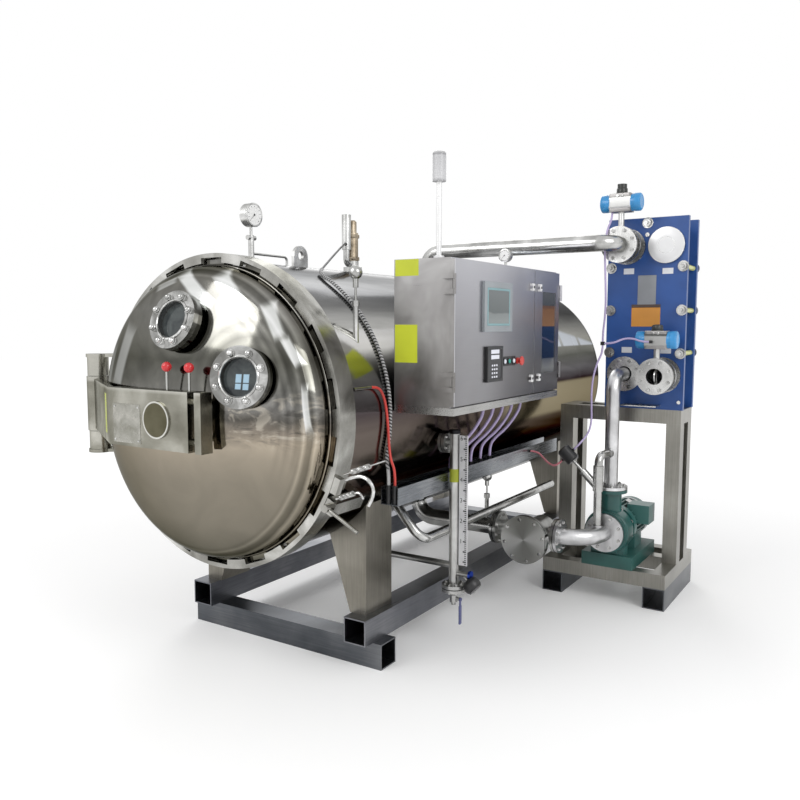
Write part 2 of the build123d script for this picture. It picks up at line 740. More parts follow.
# Hinge pin and the two brackets that hold it off the vessel's side
with BuildPart() as brackets:
    for side in (-1, 1):
        face = AXIS_Z + side * (PIN_HALF - BRACKET_T)
        base = min(face, face + side * BRACKET_T)
        with BuildSketch(Plane.XY.offset(base)):
            with Locations((HINGE_X, HINGE_Y)):
                Circle(KNUCKLE_R)
            with BuildLine():
                Polyline((HINGE_X - KNUCKLE_R, HINGE_Y), (HINGE_X + KNUCKLE_R, HINGE_Y),
                         (BRACKET_NEAR, RING_BACK + RUN), (-BORE_R + TUBE, RING_BACK + RUN),
                         (-BORE_R + TUBE, BRACKET_REAR), (BRACKET_NEAR - TUBE_T, BRACKET_REAR),
                         close=True)
            make_face()
        extrude(amount=BRACKET_T)
        bearing_end = AXIS_Z + side * (KNUCKLE_H / 2 + BEARING_GAP)
        with BuildSketch(Plane.XY.offset(min(face, bearing_end))):
            with Locations((HINGE_X, HINGE_Y)):
                Circle(BEARING_R)
        extrude(amount=abs(face - bearing_end))
    rod((HINGE_X, HINGE_Y, AXIS_Z - PIN_HALF), (HINGE_X, HINGE_Y, AXIS_Z + PIN_HALF), PIN_R)
    with BuildSketch(front_plane(VESSEL_END)):
        Circle(JACKET_R + FIT)
    extrude(amount=2 * VESSEL_END, mode=Mode.SUBTRACT)
save(brackets.part, "hinge_bracket")

# Interlock: bracket on the jacket that reaches past the ring, its air tube, and its hand lever
tube_turn = math.degrees(math.atan2(TUBE_Z - AXIS_Z, TUBE_X))
with BuildPart() as latch:
    with BuildSketch(front_plane(LATCH_BACK)):
        with PolarLocations((LATCH_IN + LATCH_OUT) / 2, 1, start_angle=LATCH_ANGLE):
            Rectangle(LATCH_OUT - LATCH_IN, LATCH_W)
    extrude(amount=LATCH_BACK - LATCH_FACE)
    with BuildSketch(front_plane(LATCH_BACK)):
        with PolarLocations((JACKET_R + LATCH_IN) / 2, 1, start_angle=LATCH_ANGLE):
            Rectangle(LATCH_IN - JACKET_R + LATCH_W / 4, LATCH_W)
    extrude(amount=LATCH_W)
    with BuildSketch(front_plane(VESSEL_END)):
        Circle(JACKET_R + FIT)
    extrude(amount=2 * VESSEL_END, mode=Mode.SUBTRACT)
    rod((TUBE_X, AIR_TUBE_Y[0], TUBE_Z), (TUBE_X, AIR_TUBE_Y[1], TUBE_Z), AIR_TUBE_R)
    rod(round_jacket(tube_turn, JACKET_R + FIT, AIR_TUBE_Y[0] + 2 * AIR_TUBE_R),
        (TUBE_X, AIR_TUBE_Y[0] + 2 * AIR_TUBE_R, TUBE_Z), AIR_TUBE_R * 0.8)
save(latch.part, "interlock_bracket")

latch_r = (LATCH_IN + LATCH_OUT) / 2
latch_x = latch_r * math.cos(math.radians(LATCH_ANGLE))
latch_z = AXIS_Z + latch_r * math.sin(math.radians(LATCH_ANGLE))
lever_x = (latch_r + LEVER_LEN) * math.cos(math.radians(LATCH_ANGLE))
lever_z = AXIS_Z + (latch_r + LEVER_LEN) * math.sin(math.radians(LATCH_ANGLE))
with BuildPart() as lever:
    rod((latch_x, LATCH_FACE - FIT, latch_z), (latch_x, LATCH_FACE - 2 * LEVER_HUB_R, latch_z),
        LEVER_HUB_R)
    rod((latch_x, LATCH_FACE - LEVER_HUB_R, latch_z), (lever_x, LATCH_FACE - LEVER_HUB_R, lever_z),
        LEVER_R)
save(lever.part, "interlock_lever")

# Hose tray on three stays
with BuildPart() as tray:
    block(TRAY_X, TRAY_X + TRAY_W, *TRAY_Y, TRAY_Z, TRAY_Z + TRAY_H)
    block(TRAY_X + TRAY_T, TRAY_X + TRAY_W - TRAY_T, *TRAY_Y, TRAY_Z + TRAY_T, TRAY_Z + TRAY_H,
          mode=Mode.SUBTRACT)
    for y in TRAY_SPOTS:
        block(0, TRAY_X + TRAY_W, y, y + TUBE / 3, TRAY_Z - TUBE_T, TRAY_Z)
    with BuildSketch(front_plane(VESSEL_END)):
        Circle(JACKET_R + FIT)
    extrude(amount=2 * VESSEL_END, mode=Mode.SUBTRACT)
save(tray.part, "hose_tray")

# Level gauge: standpipe with end flanges, tied to the vessel at two heights
with BuildPart() as gauge:
    rod((GAUGE_X, GAUGE_Y, GAUGE_Z[0]), (GAUGE_X, GAUGE_Y, GAUGE_Z[1]), GAUGE_R)
    rod((GAUGE_X, GAUGE_Y, GAUGE_Z[0] - FLANGE_T / 2), (GAUGE_X, GAUGE_Y, GAUGE_Z[0] + FLANGE_T / 2),
        GAUGE_FLANGE_R)
    rod((GAUGE_X, GAUGE_Y, GAUGE_Z[1]), (GAUGE_X, GAUGE_Y, GAUGE_Z[1] + GAUGE_CAP_H), GAUGE_R + TUBE_T / 2)
    rod((0, GAUGE_Y, GAUGE_TIE_TOP), (GAUGE_X, GAUGE_Y, GAUGE_TIE_TOP), GAUGE_TIE_R)
    for x in (TIE_FLANGE_X, TIE_FLANGE_X + TIE_FLANGE_T + GASKET):
        rod((x, GAUGE_Y, GAUGE_TIE_TOP), (x + TIE_FLANGE_T, GAUGE_Y, GAUGE_TIE_TOP), TIE_FLANGE_R)
    pipe_run(((GAUGE_X, GAUGE_Y, GAUGE_TIE_LOW), (GAUGE_TIE_X, GAUGE_Y, GAUGE_TIE_LOW),
              (GAUGE_TIE_X, GAUGE_Y, AXIS_Z)), 4 * GAUGE_TIE_R, GAUGE_TIE_R)
    with BuildSketch(front_plane(VESSEL_END)):
        Circle(JACKET_R + FIT)
    extrude(amount=2 * VESSEL_END, mode=Mode.SUBTRACT)
    rod((GAUGE_X, GAUGE_Y, SIDE_VALVE_Z), (GAUGE_X + SIDE_VALVE_LEN, GAUGE_Y, SIDE_VALVE_Z), SIDE_VALVE_R)
    rod((GAUGE_X + SIDE_VALVE_LEN, GAUGE_Y, SIDE_VALVE_Z),
        (GAUGE_X + SIDE_VALVE_LEN + SIDE_CAP_T, GAUGE_Y, SIDE_VALVE_Z), SIDE_VALVE_R + TUBE_T)
    grip_root = Vector(GAUGE_X + SIDE_VALVE_LEN / 2, GAUGE_Y, SIDE_VALVE_Z)
    grip_way = Vector(math.cos(math.radians(GRIP_TILT)), 0, -math.sin(math.radians(GRIP_TILT)))
    rod(grip_root, grip_root + grip_way * GRIP_STEM_LEN, SIDE_VALVE_R / 2)
    top = GAUGE_Z[0] - FLANGE_T / 2 - FIT
    rod((GAUGE_X, GAUGE_Y, top), (GAUGE_X, GAUGE_Y, top - FLANGE_T), GAUGE_FLANGE_R)
    rod((GAUGE_X, GAUGE_Y, top), (GAUGE_X, GAUGE_Y, DRAIN_Z), DRAIN_R * 0.6)
    rod((GAUGE_X, GAUGE_Y, DRAIN_VALVE_Z - DRAIN_R), (GAUGE_X, GAUGE_Y, DRAIN_VALVE_Z + DRAIN_R), DRAIN_R)
    rod((GAUGE_X, GAUGE_Y, DRAIN_VALVE_Z), (GAUGE_X + DRAIN_STEM, GAUGE_Y, DRAIN_VALVE_Z), DRAIN_R / 2)
save(gauge.part, "level_gauge")

with BuildPart() as scale:
    block(GAUGE_X + GAUGE_R + FIT, GAUGE_X + GAUGE_R + SCALE_W, GAUGE_Y - SCALE_T / 2, GAUGE_Y + SCALE_T / 2,
          *SCALE_Z)
save(scale.part, "gauge_scale")

with BuildPart() as drain_lever:
    x = GAUGE_X + DRAIN_STEM + FIT
    rod((x, GAUGE_Y, DRAIN_VALVE_Z), (x + DRAIN_R / 2, GAUGE_Y, DRAIN_VALVE_Z), DRAIN_R / 2)
    block(x + FIT, x + DRAIN_LEVER_T, GAUGE_Y - DRAIN_R / 3, GAUGE_Y + DRAIN_R / 3,
          DRAIN_VALVE_Z - DRAIN_LEVER, DRAIN_VALVE_Z)
save(drain_lever.part, "drain_lever")

# Cabinet: sheet body open towards +X, with a rim and a mullion between the doors
cab_front = CAB_FACE - CAB_DOOR_T - FIT
left_hinge_y = CAB_Y - CAB_HINGE_SIDE
right_hinge_y = CAB_END + CAB_HINGE_SIDE
with BuildPart() as cabinet:
    block(CAB_X, cab_front, CAB_Y, CAB_END, CAB_Z, CAB_TOP)
    block(CAB_X + CAB_T, cab_front - CAB_T, CAB_Y + CAB_T, CAB_END - CAB_T, CAB_Z + CAB_T,
          CAB_TOP - CAB_T, mode=Mode.SUBTRACT)
    block(cab_front - 2 * CAB_T, CAB_FACE, CAB_Y + CAB_FLANGE, CAB_SPLIT - CAB_FLANGE,
          CAB_Z + CAB_FLANGE, CAB_TOP - CAB_FLANGE, mode=Mode.SUBTRACT)
    block(cab_front - 2 * CAB_T, CAB_FACE, CAB_SPLIT + CAB_FLANGE, CAB_END - CAB_FLANGE,
          CAB_Z + CAB_FLANGE, CAB_TOP - CAB_FLANGE, mode=Mode.SUBTRACT)
    for hinge_y, inner in ((left_hinge_y, CAB_Y), (right_hinge_y, CAB_END)):
        for z in CAB_HINGE_Z:
            for side in (-1, 1):
                near = z + side * (CAB_HINGE_H / 2 + 1)
                far = near + side * CAB_HINGE_H / 2
                rod((CAB_FACE + CAB_HINGE_OUT, hinge_y, near), (CAB_FACE + CAB_HINGE_OUT, hinge_y, far),
                    CAB_HINGE_R)
                outer = 2 * hinge_y - inner
                block(cab_front - STAY_T / 2, CAB_FACE + CAB_HINGE_OUT, min(hinge_y, outer),
                      max(hinge_y, outer), min(near, far), max(near, far))
                block(cab_front - STAY_T / 2, cab_front - CAB_HINGE_R, min(hinge_y, inner),
                      max(hinge_y, inner), min(near, far), max(near, far))
save(cabinet.part, "cabinet_body")

with BuildPart() as mount_plate:
    block(CAB_X + CAB_T + CAB_EDGE, CAB_X + CAB_EDGE + 2 * CAB_T, CAB_Y + 2 * CAB_FLANGE,
          CAB_END - 2 * CAB_FLANGE, CAB_Z + 2 * CAB_FLANGE, CAB_TOP - 2 * CAB_FLANGE)
    for y in (CAB_Y + 3 * CAB_FLANGE, CAB_END - 3 * CAB_FLANGE):
        for z in (CAB_Z + 3 * CAB_FLANGE, CAB_TOP - 3 * CAB_FLANGE):
            rod((CAB_X + CAB_T + FIT, y, z), (CAB_X + CAB_T + CAB_EDGE, y, z), 2 * CAB_T)
save(mount_plate.part, "cabinet_mounting_plate")


def door_pan(y0, y1, hinge_y):
    """Cabinet door with folded edges and two hinge barrels, added to the open part."""
    z0 = CAB_Z + CAB_SEAM
    z1 = CAB_TOP - CAB_SEAM
    block(CAB_FACE - CAB_DOOR_T, CAB_FACE, y0, y1, z0, z1)
    block(CAB_FACE - CAB_DOOR_T, CAB_FACE - CAB_T, y0 + CAB_T, y1 - CAB_T, z0 + CAB_T, z1 - CAB_T,
          mode=Mode.SUBTRACT)
    for z in CAB_HINGE_Z:
        rod((CAB_FACE + CAB_HINGE_OUT, hinge_y, z - CAB_HINGE_H / 2),
            (CAB_FACE + CAB_HINGE_OUT, hinge_y, z + CAB_HINGE_H / 2), CAB_HINGE_R)
        edge = y0 if hinge_y < y0 else y1
        block(CAB_FACE - CAB_T, CAB_FACE + CAB_HINGE_OUT, min(hinge_y, edge), max(hinge_y, edge),
              z - CAB_HINGE_H / 2, z + CAB_HINGE_H / 2)
    for y, z in LOCKS:
        if y0 < y < y1:
            rod((CAB_FACE - CAB_T / 2, y, z), (CAB_FACE + PANEL_T, y, z), LOCK_R)


with BuildPart() as left_door:
    door_pan(CAB_Y, CAB_SPLIT - CAB_SEAM / 2, left_hinge_y)
save(left_door.part, "cabinet_door_left")

with BuildPart() as right_door:
    door_pan(CAB_SPLIT + CAB_SEAM / 2, CAB_END, right_hinge_y)
    block(CAB_X, CAB_FACE + CAB_T, *WINDOW, mode=Mode.SUBTRACT)
save(right_door.part, "cabinet_door_right")

with BuildPart() as window:
    block(CAB_FACE - CAB_DOOR_T + CAB_T, CAB_FACE - CAB_T - FIT, WINDOW[0] - CAB_EDGE, WINDOW[1] + CAB_EDGE,
          WINDOW[2] - CAB_EDGE, WINDOW[3] + CAB_EDGE)
save(window.part, "cabinet_window")

with BuildPart() as panel:
    block(CAB_FACE + FIT, CAB_FACE + PANEL_T, *PANEL)
    block(CAB_FACE + PANEL_T / 2, CAB_FACE + PANEL_T, *SCREEN, mode=Mode.SUBTRACT)
    block(CAB_FACE + PANEL_T / 2 + FIT, CAB_FACE + PANEL_T - 2 * FIT, SCREEN[0] + FIT, SCREEN[1] - FIT,
          SCREEN[2] + FIT, SCREEN[3] - FIT)
save(panel.part, "operator_panel")

with BuildPart() as recorder:
    block(CAB_FACE + FIT, CAB_FACE + 2 * PANEL_T, *RECORDER)
    for index in range(BUTTONS):
        y = CAB_Y + BUTTON_IN + index * BUTTON_STEP
        z = CAB_Z + BUTTON_UP
        rod((CAB_FACE + FIT, y, z), (CAB_FACE + PANEL_T, y, z), BUTTON_R)
save(recorder.part, "door_controls")

with BuildPart() as shelf:
    block(CAB_X, CAB_FACE, CAB_Y, CAB_END, CAB_Z - SHELF_H, CAB_Z - FIT)
    block(CAB_X + SHELF_H, CAB_FACE - SHELF_H, CAB_Y + SHELF_H, CAB_END - SHELF_H, CAB_Z - SHELF_H,
          CAB_Z, mode=Mode.SUBTRACT)
    for y in STAY_LOW_Y:
        block(0, CAB_X - FIT, y, y + STAY_T, STAY_LOW - STAY_T / 2, STAY_LOW + STAY_T / 2)
    for y in STAY_HIGH_Y:
        block(0, CAB_X - FIT, y, y + STAY_T, STAY_HIGH - STAY_T / 2, STAY_HIGH + STAY_T / 2)
    with BuildSketch(front_plane(VESSEL_END)):
        Circle(JACKET_R + FIT)
    extrude(amount=2 * VESSEL_END, mode=Mode.SUBTRACT)
save(shelf.part, "cabinet_supports")

with BuildPart() as alarm:
    rod((POLE_X, POLE_Y, CAB_TOP + FIT), (POLE_X, POLE_Y, CAB_TOP + POLE_R), 2 * POLE_R)
    rod((POLE_X, POLE_Y, CAB_TOP + POLE_R), (POLE_X, POLE_Y, POLE_TOP), POLE_R)
    rod((POLE_X, POLE_Y, POLE_TOP), (POLE_X, POLE_Y, POLE_TOP + LAMP_H), LAMP_R)
    fillet(alarm.edges().group_by(Axis.Z)[-1], LAMP_R / 3)
save(alarm.part, "alarm_light")

# Top fittings: front gauge with its cock and guard bar, and the air gauge on the cabinet
with BuildPart() as dial:
    rod((0, DIAL_Y, AXIS_Z), (0, DIAL_Y, COCK_Z + COCK_R), DIAL_STEM_R)
    rod((0, DIAL_Y, AXIS_Z), (0, DIAL_Y, DIAL_Z), DIAL_STEM_R / 2)
    rod((0, DIAL_Y - COCK_HALF, COCK_Z), (0, DIAL_Y + COCK_HALF, COCK_Z), COCK_R)
    rod((-DIAL_T / 2, DIAL_Y, DIAL_Z), (DIAL_T / 2, DIAL_Y, DIAL_Z), DIAL_R)
    pipe_run(((0, DIAL_Y, GUARD_Z), (0, GUARD_END, GUARD_Z), (0, GUARD_END, AXIS_Z)), 3 * GUARD_R, GUARD_R)
    with BuildSketch(front_plane(VESSEL_END)):
        Circle(JACKET_R + FIT)
    extrude(amount=2 * VESSEL_END, mode=Mode.SUBTRACT)
    x, y, z = AIR_GAUGE
    rod((x, y, CAB_TOP + FIT), (x, y, z), LOCK_R / 2)
    rod((x, y + LOCK_R, z), (x, y - LOCK_R, z), AIR_GAUGE_R)
save(dial.part, "pressure_gauges")

with BuildPart() as lugs:
    half = LUG_PLATE_W / 2
    for y in LUG_SPOTS:
        with BuildSketch(Plane(origin=(-LUG_PLATE_T / 2, y, AXIS_Z), x_dir=(0, 1, 0), z_dir=(1, 0, 0))):
            with BuildLine():
                Polyline((-half, JACKET_R + half), (-half, JACKET_R + FIT), (half, JACKET_R + FIT),
                         (half, JACKET_R + half))
                ThreePointArc((half, JACKET_R + half), (0, JACKET_R + 2 * half), (-half, JACKET_R + half))
            make_face()
            with Locations((0, JACKET_R + LUG_HOLE_UP)):
                Circle(LUG_HOLE_R, mode=Mode.SUBTRACT)
        extrude(amount=LUG_PLATE_T)
save(lugs.part, "lifting_lugs")

# Relief nozzle that also carries the pressure transmitter on a bent leg, and the safety valve on it
nozzle_z = AXIS_Z + JACKET_R
relief_z = nozzle_z + RELIEF_BASE_H
sender_y = RELIEF_Y - SENDER_OUT
sender_z = nozzle_z + SENDER_LOW
leg_z = relief_z - SENDER_LEG_R - FIT
with BuildPart() as sender:
    rod((0, RELIEF_Y, AXIS_Z), (0, RELIEF_Y, nozzle_z + RELIEF_NOZZLE_H), RELIEF_NOZZLE_R)
    rod((0, RELIEF_Y, nozzle_z), (0, RELIEF_Y, relief_z), RELIEF_BASE_R)
    pipe_run(((0, sender_y, sender_z), (0, sender_y, leg_z), (0, RELIEF_Y, leg_z)), SENDER_BEND, SENDER_LEG_R)
    rod((0, sender_y, sender_z), (0, sender_y, sender_z + SENDER_H), SENDER_R)
    with BuildSketch(front_plane(VESSEL_END)):
        Circle(JACKET_R + FIT)
    extrude(amount=2 * VESSEL_END, mode=Mode.SUBTRACT)
save(sender.part, "pressure_transmitter")

with BuildPart() as relief:
    bonnet_z = relief_z + RELIEF_BODY_H
    rod((0, RELIEF_Y, relief_z + FIT), (0, RELIEF_Y, bonnet_z), RELIEF_BODY_R)
    rod((0, RELIEF_Y, bonnet_z), (0, RELIEF_Y, bonnet_z + BONNET_H), BONNET_R)
    chamfer(relief.edges().group_by(Axis.Z)[-1], BONNET_R / 3)
save(relief.part, "safety_valve")

# Temperature probes: pocket tube, nut, thin stem, coupling and round head
with BuildPart() as probes:
    top_foot = AXIS_Z + math.sqrt(JACKET_R ** 2 - PROBE_X ** 2)
    for x, y, foot, length in ((PROBE_X, PROBE_Y, top_foot, PROBE_LEN),
                               (LOW_PROBE_X, SUCTION_Y, PUMP_Z + INLET_R + FIT, LOW_PROBE_LEN)):
        start = foot if x == LOW_PROBE_X else foot - PROBE_R * 4
        rod((x, y, start), (x, y, foot + 0.48 * length), PROBE_R)
        rod((x, y, foot + 0.48 * length), (x, y, foot + 0.57 * length), PROBE_NUT_R)
        rod((x, y, foot + 0.57 * length), (x, y, foot + 0.77 * length), PROBE_STEM_R)
        rod((x, y, foot + 0.77 * length), (x, y, foot + length), PROBE_R)
        with Locations((x, y, foot + length)):
            Sphere(PROBE_HEAD_R)
    with BuildSketch(front_plane(VESSEL_END)):
        Circle(JACKET_R + FIT)
    extrude(amount=2 * VESSEL_END, mode=Mode.SUBTRACT)
save(probes.part, "temperature_probes")

port_z = FRAME_TOP + PORT_LOW
top_port = port_z + PORT_RISE
with BuildPart() as over_pipe:
    pipe_run(((OVER_START, OVER_Y, AXIS_Z + BORE_R), (OVER_START, OVER_Y, top_port),
              (EX_X - PORT_DX, OVER_Y, top_port),
              (EX_X - PORT_DX, EX_Y - FLANGE_T - STUB_LEN - FLANGE_T - WAFER_T - FLANGE_T, top_port)),
             OVER_R * 2, OVER_R)
    with BuildSketch(front_plane(VESSEL_END)):
        Circle(JACKET_R + FIT)
    extrude(amount=2 * VESSEL_END, mode=Mode.SUBTRACT)
save(over_pipe.part, "overhead_pipe")

# Exchanger: two heavy plates with the plate pack between them
ex_rear = EX_Y + EX_PLATE_T + EX_GAP
bar_z = FRAME_TOP + EX_H - BAR_DOWN
with BuildPart() as end_plates:
    block(EX_X - EX_W / 2, EX_X + EX_W / 2, EX_Y, EX_Y + EX_PLATE_T, FRAME_TOP + FIT, FRAME_TOP + EX_H)
    for side in (-1, 1):
        for z in (port_z, top_port):
            rod((EX_X + side * PORT_DX, EX_Y - 1, z), (EX_X + side * PORT_DX, EX_Y + EX_PLATE_T + 1, z),
                PORT_R, mode=Mode.SUBTRACT)
        for z in BOLT_Z:
            rod((EX_X + side * BOLT_DX, EX_Y - 1, z), (EX_X + side * BOLT_DX, EX_Y + EX_PLATE_T + 1, z),
                SLEEVE_R + FIT, mode=Mode.SUBTRACT)
    block(EX_X - EX_W / 2, EX_X + EX_W / 2, ex_rear, ex_rear + EX_PLATE_T, FRAME_TOP + FIT,
          FRAME_TOP + EX_H)
    for side in (-1, 1):
        for z in BOLT_Z:
            rod((EX_X + side * BOLT_DX, ex_rear - 1, z),
                (EX_X + side * BOLT_DX, ex_rear + EX_PLATE_T + 1, z), SLEEVE_R + FIT, mode=Mode.SUBTRACT)
    rod((EX_X, EX_Y - 1, bar_z), (EX_X, ex_rear + EX_PLATE_T + 1, bar_z), BAR_R + FIT, mode=Mode.SUBTRACT)
save(end_plates.part, "exchanger_end_plates")

with BuildPart() as pack:
    block(EX_X - EX_PACK_W / 2, EX_X + EX_PACK_W / 2, EX_Y + EX_PLATE_T + FIT, ex_rear - FIT,
          FRAME_TOP + PACK_MARGIN, FRAME_TOP + EX_H - PACK_MARGIN)
    for side in (-1, 1):
        for z in (port_z, top_port):
            rod((EX_X + side * PORT_DX, EX_Y, z), (EX_X + side * PORT_DX, ex_rear - TUBE_T, z),
                PORT_R, mode=Mode.SUBTRACT)
save(pack.part, "plate_pack")

# Tie bolts in their sleeves, carrying bar at the top, plug and foot bolts in the front plate
with BuildPart() as bolts:
    tie_spots = [(EX_X + side * BOLT_DX, z, SLEEVE_R) for side in (-1, 1) for z in BOLT_Z]
    for x, z, shank in tie_spots + [(EX_X, bar_z, BAR_R)]:
        ex_back = ex_rear + EX_PLATE_T
        rod((x, EX_Y - FIT, z), (x, ex_back + FIT, z), shank)
        rod((x, EX_Y - BOLT_OUT, z), (x, ex_back + BOLT_OUT, z), BOLT_R)
        rod((x, EX_Y - FIT - WASHER_T, z), (x, EX_Y - FIT, z), WASHER_R)
        rod((x, EX_Y - FIT - WASHER_T - BOLT_NUT_H, z), (x, EX_Y - FIT, z), BOLT_NUT_R)
        rod((x, ex_back + FIT, z), (x, ex_back + FIT + WASHER_T, z), WASHER_R)
        rod((x, ex_back + FIT, z), (x, ex_back + FIT + WASHER_T + BOLT_NUT_H, z), BOLT_NUT_R)
    rod((EX_X, EX_Y - FIT, bar_z + BAR_DOWN - PLUG_DOWN),
        (EX_X, EX_Y - BOLT_NUT_H / 2, bar_z + BAR_DOWN - PLUG_DOWN), PLUG_R)
    for side in (-1, 1):
        x = EX_X + side * BOLT_DX
        rod((x, EX_Y - FIT, FRAME_TOP + FOOT_BOLT_UP), (x, EX_Y - BOLT_NUT_H / 2, FRAME_TOP + FOOT_BOLT_UP),
            FOOT_BOLT_R)
save(bolts.part, "tie_bolts")

# Two flanged wafer valves with pneumatic actuators
port_face = EX_Y - FIT - FLANGE_T
rear_flange = port_face - STUB_LEN
wafer_rear = rear_flange - FLANGE_T
wafer_front = wafer_rear - WAFER_T
spots = ((EX_X + PORT_DX, port_z, LOW_ACT_RISE), (EX_X - PORT_DX, top_port, TOP_ACT_RISE))
with BuildPart() as flanges:
    for side, z, depth in ((-1, port_z, FLANGE_T), (1, port_z, FLANGE_T), (-1, top_port, FLANGE_T),
                           (1, top_port, RECESS)):
        with BuildSketch(front_plane(EX_Y - FIT, EX_X + side * PORT_DX, z)):
            Circle(FLANGE_R)
        extrude(amount=FLANGE_T)
        with BuildSketch(front_plane(port_face, EX_X + side * PORT_DX, z)):
            Circle(PORT_R)
        extrude(amount=-depth, mode=Mode.SUBTRACT)
    block(*LEDGE, EX_Y - LEDGE_D, EX_Y - FIT, FRAME_TOP + LEDGE_UP, FRAME_TOP + LEDGE_UP + LEDGE_T)
    for x, z, rise in spots:
        with BuildSketch(front_plane(port_face, x, z)):
            Circle(PORT_R + TUBE_T)
            Circle(PORT_R, mode=Mode.SUBTRACT)
        extrude(amount=STUB_LEN)
        with BuildSketch(front_plane(rear_flange, x, z)):
            Circle(FLANGE_R)
            Circle(PORT_R, mode=Mode.SUBTRACT)
        extrude(amount=FLANGE_T)
        with BuildSketch(front_plane(wafer_front - FIT, x, z)):
            Circle(FLANGE_R)
            Circle(PORT_R, mode=Mode.SUBTRACT)
        extrude(amount=FLANGE_T - FIT)
save(flanges.part, "exchanger_flanges")

with BuildPart() as wafers:
    for x, z, rise in spots:
        with BuildSketch(front_plane(wafer_rear - FIT, x, z)):
            Circle(WAFER_R)
            Circle(PORT_R, mode=Mode.SUBTRACT)
        extrude(amount=WAFER_T - FIT)
        middle = (wafer_front + wafer_rear) / 2
        rod((x, middle, z + WAFER_R - 2), (x, middle, z + rise - ACT_H / 2 - FIT), NECK_R)
save(wafers.part, "wafer_valves")

with BuildPart() as actuators:
    for x, z, rise in spots:
        middle = (wafer_front + wafer_rear) / 2
        block(x - ACT_LEN / 2, x + ACT_LEN / 2, middle - ACT_H / 2, middle + ACT_H / 2,
              z + rise - ACT_H / 2, z + rise + ACT_H / 2)
    fillet(actuators.edges().filter_by(Axis.X), ACT_H / 4)
    for x, z, rise in spots:
        middle = (wafer_front + wafer_rear) / 2
        top = z + rise + ACT_H / 2
        tall = DOME_H if z == top_port else DOME_H / 3
        rod((x, middle, top - FIT), (x, middle, top + tall), DOME_R)
save(actuators.part, "valve_actuators")

with BuildPart() as caps:
    for x, z, rise in spots:
        middle = (wafer_front + wafer_rear) / 2
        for side in (-1, 1):
            rod((x + side * (ACT_LEN / 2 + FIT), middle, z + rise),
                (x + side * (ACT_LEN / 2 + ACT_CAP), middle, z + rise), ACT_H / 2 - TUBE_T / 2)
save(caps.part, "actuator_caps")

low_x, low_z, low_rise = spots[0]
with BuildPart() as disc:
    middle = (wafer_front + wafer_rear) / 2
    rod((low_x - DISC_T / 2, middle, low_z), (low_x + DISC_T / 2, middle, low_z), PORT_R - DISC_CLEAR)
    with BuildSketch(front_plane(wafer_rear, low_x, low_z)):
        Rectangle(4 * PORT_R, 4 * PORT_R)
        Rectangle(4 * PORT_R, 2 * PORT_R - 2 * FIT, mode=Mode.SUBTRACT)
    extrude(amount=WAFER_T, mode=Mode.SUBTRACT)
    rod((low_x, middle, low_z - PORT_R + 1), (low_x, middle, low_z + PORT_R - 1), DISC_T)
save(disc.part, "valve_disc")

# Stand
with BuildPart() as feet:
    for x in (STAND_X, STAND_X + STAND_W - TUBE):
        block(x, x + TUBE, STAND_Y, STAND_Y + STAND_LEN, 0, TUBE)
        block(x + TUBE_T, x + TUBE - TUBE_T, STAND_Y, STAND_Y + STAND_LEN, TUBE_T, TUBE - TUBE_T,
              mode=Mode.SUBTRACT)
save(feet.part, "stand_feet")

stand_x1 = STAND_X + STAND_W
stand_y1 = STAND_Y + STAND_LEN
frame_y1 = FRAME_Y + EX_PLATE_T * 2 + EX_GAP
with BuildPart() as base:
    for y in (STAND_Y, stand_y1 - STAND_TUBE):
        block(STAND_X, stand_x1, y, y + STAND_TUBE, TUBE, BASE_TOP)
    for x in (STAND_X, stand_x1 - STAND_TUBE):
        block(x, x + STAND_TUBE, STAND_Y + STAND_TUBE + FIT, stand_y1 - STAND_TUBE - FIT, TUBE, BASE_TOP)
    block(STAND_X + STAND_TUBE + FIT, stand_x1 - STAND_TUBE - FIT, PUMP_SILL_Y, PUMP_SILL_Y + STAND_TUBE,
          TUBE, BASE_TOP)
    for x in (STAND_X, stand_x1 - STAND_TUBE):
        for y in (FRAME_Y, FRAME_Y + EX_PLATE_T * 2 + EX_GAP - STAND_TUBE):
            block(x, x + STAND_TUBE, y, y + STAND_TUBE, BASE_TOP + FIT, FRAME_TOP - STAND_TUBE - FIT)
    for y in (FRAME_Y, frame_y1 - STAND_TUBE):
        block(STAND_X, stand_x1, y, y + STAND_TUBE, FRAME_TOP - STAND_TUBE, FRAME_TOP)
    for x in (STAND_X, stand_x1 - STAND_TUBE):
        block(x, x + STAND_TUBE, FRAME_Y + STAND_TUBE + FIT, frame_y1 - STAND_TUBE - FIT,
              FRAME_TOP - STAND_TUBE, FRAME_TOP)
save(base.part, "stand_frame")

# Pump on its base, motor behind it
with BuildPart() as pump_base:
    block(PUMP_X - PUMP_BASE_W / 2, PUMP_X + PUMP_BASE_W / 2, *PUMP_BASE_Y, BASE_TOP + FIT,
          BASE_TOP + PUMP_BASE_T)
save(pump_base.part, "pump_base")

